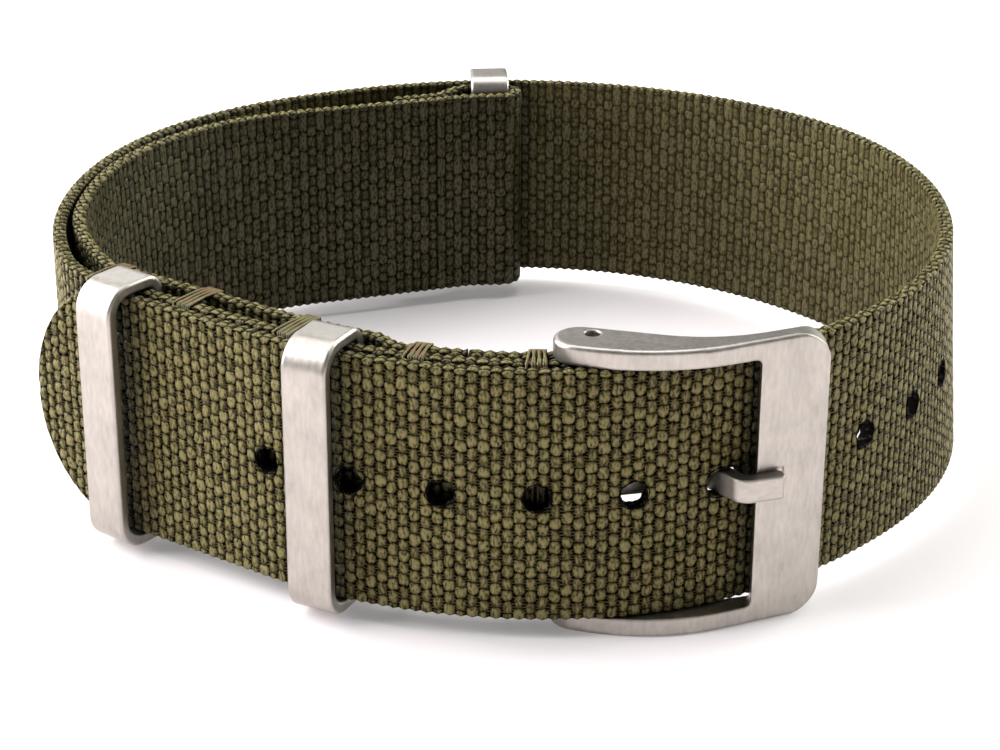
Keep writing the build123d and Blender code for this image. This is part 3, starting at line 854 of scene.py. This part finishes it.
def woven_strip(start, length, sizes, tip_round):
    """Webbing as a bmesh with its flat UV map, still straight: X along, Y depth, Z across.

    start is the depth of its outer face to the left of the route. Even cells are on the wrist's face.
    """
    rib, cell, relief = sizes.rib / MM, sizes.cell / MM, sizes.relief / MM
    stations = np.arange(ceil(length / rib * 2) + 1) * rib / 2
    stations = stations[stations < length - rib / 4]
    if tip_round:
        curve = tip_round * (1 - np.cos(np.linspace(TIP_START, pi / 2, TIP_STEPS)))
        stations = np.concatenate([curve, stations[stations > tip_round + rib / 4]])
    stations = np.append(stations, length)
    levels, depths, sides = section_ring()
    around = len(levels)
    bm = bmesh.new()
    bmesh.ops.create_grid(bm, x_segments=len(stations) - 1, y_segments=around, size=0.5)
    bm.verts.ensure_lookup_table()
    flat = np.array([vert.co for vert in bm.verts])
    column = np.rint((flat[:, 0] + 0.5) * (len(stations) - 1)).astype(int)
    row = np.rint((flat[:, 1] + 0.5) * around).astype(int) % around
    s = stations[column]
    level, depth, side = levels[row], depths[row], sides[row]
    narrowing = np.ones(s.shape)
    if tip_round:
        narrowing = np.sqrt(1 - np.clip(1 - s / tip_round, 0, 1) ** 2)
    middle = WIDTH / 2
    level = middle + (level - middle) * narrowing
    height = knot_height(s / rib, level / cell, np.where(side == WRIST, 1, 0))
    sink = (1 - height) * relief * RELIEF_SHARE
    depth = depth + np.where(side == WRIST, -sink, np.where(side == OUTER, sink, 0))
    loops = np.abs(np.sin(pi * s / rib)) * LOOP_HEIGHT - LOOP_SINK
    level = level + np.where(side == UPPER, loops, np.where(side == LOWER, -loops, 0)) * narrowing
    uv_layer = bm.loops.layers.uv.new("flat")
    for vert, x, y, up in zip(bm.verts, s, depth + start, level):
        vert.co = (x, y, up)
    for polygon in bm.faces:
        touched = [side[vert.index] for vert in polygon.verts]
        polygon.material_index = WRIST_SLOT if touched.count(WRIST) >= 2 else 0
        wrap = EDGE_WRAP if max(touched) >= UPPER else 0.0
        for loop in polygon.loops:
            x, y, up = loop.vert.co
            loop[uv_layer].uv = (x * MM, (up + y * wrap) * MM)
    bmesh.ops.remove_doubles(bm, verts=bm.verts, dist=TINY)
    fill_ends(bm)
    end_faces = [polygon for polygon in bm.faces if len(polygon.verts) > 4]
    for polygon in end_faces:
        for loop in polygon.loops:
            loop[uv_layer].uv = (loop.vert.co.x * MM, loop.vert.co.z * MM)
        polygon.material_index = MELTED_SLOT
    bmesh.ops.triangulate(bm, faces=end_faces)
    bmesh.ops.recalc_face_normals(bm, faces=bm.faces)
    return bm


def set_in_hole(verts, index):
    """Moves a shape that stands round the Y axis into one of the tail's holes."""
    stretch = TANG_HOLE_STRETCH if index == TANG_HOLE else 0.0
    centre = Vector((FIRST_HOLE + index * HOLE_PITCH, THICKNESS / 2, WIDTH / 2))
    for vert in verts:
        vert.co.x += stretch / 2 if vert.co.x > 0 else -stretch / 2
        vert.co += centre


def cutter_rods():
    """Rods that punch the tail's holes, in the straight webbing's space."""
    bm = bmesh.new()
    for index in range(HOLES):
        made = bmesh.ops.create_cone(
            bm,
            cap_ends=True,
            segments=40,
            radius1=HOLE_RADIUS,
            radius2=HOLE_RADIUS,
            depth=THICKNESS * 3,
        )
        verts = made["verts"]
        bmesh.ops.rotate(bm, verts=verts, cent=(0, 0, 0), matrix=Matrix.Rotation(pi / 2, 3, "X"))
        set_in_hole(verts, index)
    bmesh.ops.recalc_face_normals(bm, faces=bm.faces)
    for polygon in bm.faces:
        polygon.material_index = MELTED_SLOT
    return bm


def punched(bm, rods):
    """The straight webbing with the rods cut out of it."""
    strip, cutter = mesh_object("strip", bm), mesh_object("rods", rods)
    for piece in (strip, cutter):
        for _ in range(MELTED_SLOT + 1):
            piece.data.materials.append(None)
    cut = strip.modifiers.new("holes", "BOOLEAN")
    cut.operation = "DIFFERENCE"
    cut.object = cutter
    cut.solver = "EXACT"
    bpy.context.view_layer.update()
    done = bpy.data.meshes.new_from_object(
        strip.evaluated_get(bpy.context.evaluated_depsgraph_get())
    )
    result = bmesh.new()
    result.from_mesh(done)
    for piece in (strip, cutter):
        mesh = piece.data
        bpy.data.objects.remove(piece)
        bpy.data.meshes.remove(mesh)
    bpy.data.meshes.remove(done)
    return result


def laid_along(bm, route, leans):
    """Bends straight webbing along a route, and puts it in the model's place, in metres."""
    bm.verts.ensure_lookup_table()
    flat = np.array([vert.co for vert in bm.verts])
    depth = flat[:, 1].copy()
    rise = 2 * flat[:, 2] / WIDTH - 1
    for middle, reach, upper, lower, whole in leans:
        fade = np.cos(np.clip((flat[:, 0] - middle) / reach, -1, 1) * pi / 2) ** 2
        depth += fade * (np.maximum(rise, 0) * upper + np.maximum(-rise, 0) * lower + whole)
    x, y = route.place(flat[:, 0], depth)
    for vert, px, py, pz in zip(bm.verts, x, y, flat[:, 2]):
        vert.co = to_world(px, py, pz)
    return bm


def lip_rings():
    """Melted lips of the tail's holes: a full spin of a rounded section, smooth beside the tang."""
    bm = bmesh.new()
    wide, tall = LIP_SECTION
    for index in range(HOLES):
        holds_tang = index == TANG_HOLE
        reach = HOLE_RADIUS + (TANG_LIP_REACH if holds_tang else LIP_REACH)
        ripples = () if holds_tang else LIP_RIPPLES
        verts = bmesh.ops.create_circle(bm, segments=10, radius=1.0)["verts"]
        for vert in verts:
            vert.co = (reach + vert.co.x * wide, vert.co.y * tall, 0)
        edges = list(dict.fromkeys(edge for vert in verts for edge in vert.link_edges))
        bmesh.ops.spin(
            bm,
            geom=verts + edges,
            cent=(0, 0, 0),
            axis=(0, 1, 0),
            dvec=(0, 0, 0),
            angle=2 * pi,
            steps=36,
            use_merge=True,
        )
        ring = [vert for vert in bm.verts if not vert.tag]
        for vert in ring:
            vert.tag = True
            around = atan2(vert.co.z, vert.co.x)
            ripple = sum(
                size * sin(count * around + index * shift) for size, count, shift in ripples
            )
            ragged = 1 + ripple
            vert.co.x *= ragged
            vert.co.z *= ragged
        set_in_hole(ring, index)
    bmesh.ops.remove_doubles(bm, verts=bm.verts, dist=TINY)
    bmesh.ops.recalc_face_normals(bm, faces=bm.faces)
    return bm


def strand(bm, points, radius, closed):
    """Round strand through points, as a skin of rings bridged along it."""
    rings = []
    count = len(points)
    for index, point in enumerate(points):
        before = points[(index - 1) % count] if closed or index else point
        after = points[(index + 1) % count] if closed or index < count - 1 else point
        ahead = (after - before).normalized()
        made = bmesh.ops.create_circle(bm, segments=6, radius=radius)
        turn = ahead.to_track_quat("Z", "Y").to_matrix().to_4x4()
        bmesh.ops.transform(bm, matrix=Matrix.Translation(point) @ turn, verts=made["verts"])
        rings.append(made["verts"])
    for first, second in zip(rings, rings[1:] + (rings[:1] if closed else [])):
        edges = [e for v in first for e in v.link_edges if e.other_vert(v) in first]
        edges += [e for v in second for e in v.link_edges if e.other_vert(v) in second]
        bmesh.ops.bridge_loops(bm, edges=list(dict.fromkeys(edges)))
    if not closed:
        for ring in (rings[0], rings[-1]):
            bmesh.ops.contextual_create(bm, geom=ring)


def beside_route(route, along, depth, z):
    """One point beside a route, in the model."""
    x, y = route.place([along], [depth])
    return Vector(to_world(x[0], y[0], z))


def tack_strands(place, reach, sizes):
    """Slanted turns of thread round the layers of the base at one tack."""
    bm = bmesh.new()
    lift = sizes.radius / MM * THREAD_LIFT
    near, far = BASE_DEPTH - lift, reach + lift
    low, high = -lift, WIDTH + lift
    pitch = TACK_WIDTH / sizes.turns
    for index in range(sizes.turns):
        along = place - TACK_WIDTH / 2 + (index + 0.5) * pitch
        slant = pitch * TACK_SLANTS[index % 2]
        points = []
        for share in np.linspace(0, 1, FACE_STEPS):
            points.append((along + slant * share, near, low + (high - low) * share))
        for share in EDGE_SHARES:
            bulge = EDGE_BULGE * sin(pi * share)
            points.append((along + slant * (1 - share), near + (far - near) * share, high + bulge))
        for share in np.linspace(1, 0, FACE_STEPS):
            points.append((along, far, low + (high - low) * share))
        for share in reversed(EDGE_SHARES):
            bulge = EDGE_BULGE * sin(pi * share)
            points.append((along, near + (far - near) * share, low - bulge))
        strand(bm, [beside_route(MAIN, *point) for point in points], sizes.radius, True)
    bmesh.ops.recalc_face_normals(bm, faces=bm.faces)
    return bm


def seam_stitches(sizes):
    """The stitches of the flap seam, on both faces of the fold."""
    bm = bmesh.new()
    x, y, heading = RAW.poses[3]
    route = Route(x, y, heading).run(TACK_WIDTH)
    pitch = (WIDTH - 2 * STITCH_MARGIN) / STITCHES
    for depth in (THICKNESS / 2 + THICKNESS + LAYER_GAP, -THICKNESS / 2):
        outward = 1 if depth > 0 else -1
        for index in range(STITCHES):
            middle = STITCH_MARGIN + (index + 0.5) * pitch
            points = []
            for share in np.linspace(-1, 1, 5):
                out = depth + outward * (STITCH_RISE - STITCH_DIP * share**4)
                level = middle + share * STITCH_LENGTH / 2
                points.append(beside_route(route, STITCH_ALONG, out, level))
            strand(bm, points, sizes.radius, False)
    bmesh.ops.recalc_face_normals(bm, faces=bm.faces)
    return bm


def give(node, made):
    """Gives a node of the frame its material."""
    mesh = frame["nodes"][node].data
    mesh.materials.clear()
    mesh.materials.append(made)


def spring_half(name, side, made):
    """Half of the spring bar's spring, cut off at its middle and closed, in place of the whole spring.
    """
    low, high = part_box("spring_bar_spring")
    middle = (low[2] + high[2]) / 2
    bm = bmesh.new()
    bm.from_mesh(frame["nodes"]["spring_bar_spring"].data)
    bmesh.ops.bisect_plane(
        bm,
        geom=bm.verts[:] + bm.edges[:] + bm.faces[:],
        plane_co=(0, 0, middle),
        plane_no=(0, 0, -side),
        clear_outer=True,
    )
    fill_ends(bm)
    half = finished(name, bm, (made,), "webbing", ("spring_bar_spring",))
    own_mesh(half)


def add_lamp(name, place, size, energy, colour):
    """Square soft lamp that faces the strap."""
    lamp = bpy.data.lights.new(name, "AREA")
    lamp.size = size
    lamp.energy = energy
    lamp.color = colour
    lamp_object = bpy.data.objects.new(name, lamp)
    bpy.context.scene.collection.objects.link(lamp_object)
    lamp_object.location = place
    aim = Vector(LAMP_AIM) - Vector(place)
    lamp_object.rotation_euler = aim.to_track_quat("-Z", "Y").to_euler()


class STRAP_OT_webbing(Operator):
    """Weave the main strap and the under-strap, and lay them in their folds"""

    bl_idname = "strap.webbing"
    bl_label = "Webbing"

    def execute(self, context):
        sizes = context.scene.strap_webbing
        knots = knot_group()
        outer, inner, flap_painted_shade = [
            woven_material(name, sizes, knots, *look) for name, look in FACES.items()
        ]
        melted = melted_material("melted_nylon")
        strip = punched(woven_strip(0.0, MAIN.length(), sizes, TIP_ROUND), cutter_rods())
        finished(
            "woven_main_strap",
            laid_along(strip, MAIN, LEANS),
            (outer, inner, melted),
            "webbing",
            ("main_strap",),
        )
        whole = whole_under_route()
        # The under-strap's inner face takes the flap face, darkened as painted shade
        strip = woven_strip(-THICKNESS / 2, whole.length(), sizes, 0)
        finished(
            "woven_under_strap",
            laid_along(strip, whole, UNDER_LEANS),
            (outer, flap_painted_shade, melted),
            "webbing",
            ("under_strap",),
        )
        rings = laid_along(lip_rings(), MAIN, LEANS)
        finished("melted_hole_lips", rings, (melted,), "webbing")
        return {"FINISHED"}


class STRAP_OT_thread(Operator):
    """Sew the bar tacks over the base and the seam that closes the flap"""

    bl_idname = "strap.thread"
    bl_label = "Thread"

    def execute(self, context):
        sizes = context.scene.strap_thread
        sewn = thread_material("sewing_thread", sizes.colour)
        # The seam's thread is the same thread darkened as painted shade
        seam_painted_shade = thread_material("seam_thread", [channel * PAINTED_SEAM_SHADE for channel in sizes.colour])
        deep, shallow = UNDER_DEPTH + THICKNESS, SEWN_DEPTH + THICKNESS
        names = ("far_outer", "far_inner", "near_outer", "near_inner", "buckle")
        for name, place, reach in zip(names, TACKS, (deep, deep, deep, shallow, shallow)):
            finished(
                f"tack_{name}",
                tack_strands(place, reach, sizes),
                (sewn,),
                "webbing",
                (f"bar_tack_{name}",),
            )
        finished("flap_stitches", seam_stitches(sizes), (seam_painted_shade,), "webbing", ("flap_seam",))
        return {"FINISHED"}


class STRAP_OT_hardware(Operator):
    """Finish the brushed steel of the buckle, the tang, the keepers and the spring bar"""

    bl_idname = "strap.hardware"
    bl_label = "Hardware"

    def execute(self, context):
        sizes = context.scene.strap_steel
        lines = brushed_group()
        colour, rough, edge = sizes.colour, sizes.roughness, sizes.edge
        brushed = steel_material("steel_brushed", colour, lines, (1, 1, 0.3), rough, edge)
        level = steel_material("steel_brushed_level", colour, lines, (0.3, 1, 1), rough, edge)
        # The spring bar's tips, in the arms' holes, get steel darkened as painted shade
        deep = [channel * PAINTED_TIP_SHADE for channel in colour]
        painted_shade_steel = steel_material("steel_recessed", deep, lines, (1, 1, 1), rough, edge)
        smooth = rough - TURNED_SMOOTHER
        turned = steel_material("steel_turned", colour, lines, (1, 1, 1), smooth, edge)
        for node in ("keeper_far", "keeper_near", "slide_keeper", "buckle_frame"):
            give(node, brushed)
        give("buckle_tang", level)
        for node in ("spring_bar_tip_upper", "spring_bar_tip_lower"):
            give(node, painted_shade_steel)
        give("spring_bar_tube", turned)
        spring_half("spring_half_upper", 1, turned)
        spring_half("spring_half_lower", -1, turned)
        return {"FINISHED"}


class STRAP_OT_stage(Operator):
    """Set the table, the lamps and the camera"""

    bl_idname = "strap.stage"
    bl_label = "Stage"

    def execute(self, context):
        scene = context.scene
        sizes = scene.strap_stage
        bm = bmesh.new()
        bmesh.ops.create_grid(bm, x_segments=2, y_segments=2, size=TABLE_HALF)
        table = mesh_object("table", bm)
        table.data.materials.append(table_material())
        for name, (place, size, colour) in LAMPS.items():
            add_lamp(f"{name}_softbox", place, size, getattr(sizes, name), colour)
        world = bpy.data.worlds.new("room")
        world.use_nodes = True
        room = world.node_tree.nodes["Background"].inputs
        room["Color"].default_value = ROOM_COLOUR
        room["Strength"].default_value = sizes.room
        scene.world = world
        lens = bpy.data.cameras.new("camera")
        lens.lens = sizes.lens
        lens.shift_y = sizes.shift
        camera = bpy.data.objects.new("camera", lens)
        scene.collection.objects.link(camera)
        camera.location = (
            HOME[0] * MM + sizes.sideways,
            HOME[1] * MM - sizes.stand_off,
            HOME[2] * MM + sizes.height,
        )
        tilt = Matrix.Rotation(pi / 2 - sizes.pitch, 3, "X") @ Matrix.Rotation(sizes.roll, 3, "Z")
        camera.rotation_euler = tilt.to_euler()
        scene.camera = camera
        scene.view_settings.view_transform = "Standard"
        return {"FINISHED"}


class STRAP_PT_panel(Panel):
    """Lists the strap's steps and sizes"""

    bl_idname = "STRAP_PT_panel"
    bl_label = "Watch strap"
    bl_space_type = "VIEW_3D"
    bl_region_type = "UI"
    bl_category = "Strap"

    def draw(self, context):
        for operator in OPERATORS:
            self.layout.operator(operator.bl_idname)
        for name, group in SIZES.items():
            settings = getattr(context.scene, name)
            for key in group.__annotations__:
                self.layout.prop(settings, key)


SIZES = {
    "strap_webbing": WebbingSizes,
    "strap_steel": SteelSizes,
    "strap_thread": ThreadSizes,
    "strap_stage": StageSizes,
}
OPERATORS = (STRAP_OT_webbing, STRAP_OT_thread, STRAP_OT_hardware, STRAP_OT_stage)


def register():
    for group in SIZES.values():
        bpy.utils.register_class(group)
    for name, group in SIZES.items():
        setattr(bpy.types.Scene, name, PointerProperty(type=group))
    for operator in OPERATORS:
        bpy.utils.register_class(operator)
    bpy.utils.register_class(STRAP_PT_panel)


def unregister():
    bpy.utils.unregister_class(STRAP_PT_panel)
    for operator in reversed(OPERATORS):
        bpy.utils.unregister_class(operator)
    for name, group in SIZES.items():
        delattr(bpy.types.Scene, name)
        bpy.utils.unregister_class(group)


def main():
    """Builds everything in order."""
    register()
    bpy.ops.strap.webbing()
    bpy.ops.strap.thread()
    bpy.ops.strap.hardware()
    bpy.ops.strap.stage()


if __name__ == "__main__":
    main()
